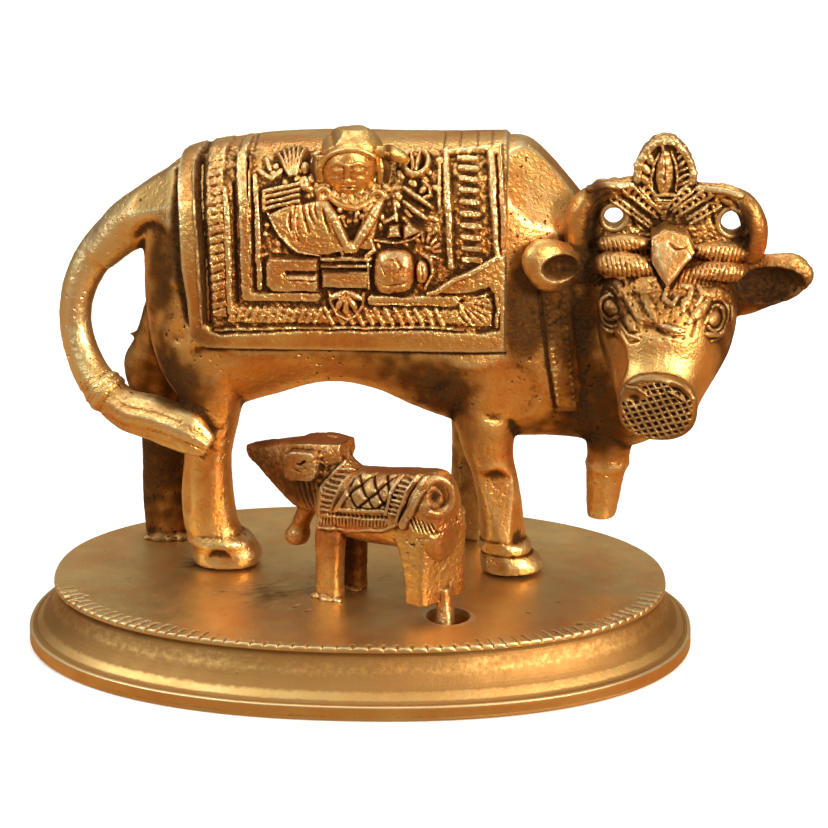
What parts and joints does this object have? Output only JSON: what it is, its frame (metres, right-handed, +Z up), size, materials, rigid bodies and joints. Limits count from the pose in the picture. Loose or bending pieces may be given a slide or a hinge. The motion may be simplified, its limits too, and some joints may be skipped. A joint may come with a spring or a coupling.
{
  "type": "kamdhenu cow statue",
  "caption": "Small cast brass cow in a relief blanket and crown, head turned to the side, with her calf, pegged to an oval swept plinth.",
  "frame": {"origin": "centre of the plinth's underside, the face it rests on", "axes": "+X towards the end where the cow's head is, -Y towards the side that the cow's head looks to and the calf stands on, +Z up"},
  "size_m": [0.1231, 0.0676, 0.0827],
  "materials": {
    "plinth_brass": "brushed and worn, brown tarnish in the file marks and pits",
    "cow_brass": "worn polish on what stands proud, dark brown patina in the carving",
    "calf_brass": "worn, more tarnished than the cow, dark in the carving"
  },
  "bodies": {
    "root": {"plinth": "plinth_brass", "cow": "cow_brass", "calf": "calf_brass"}
  },
  "joints": []
}
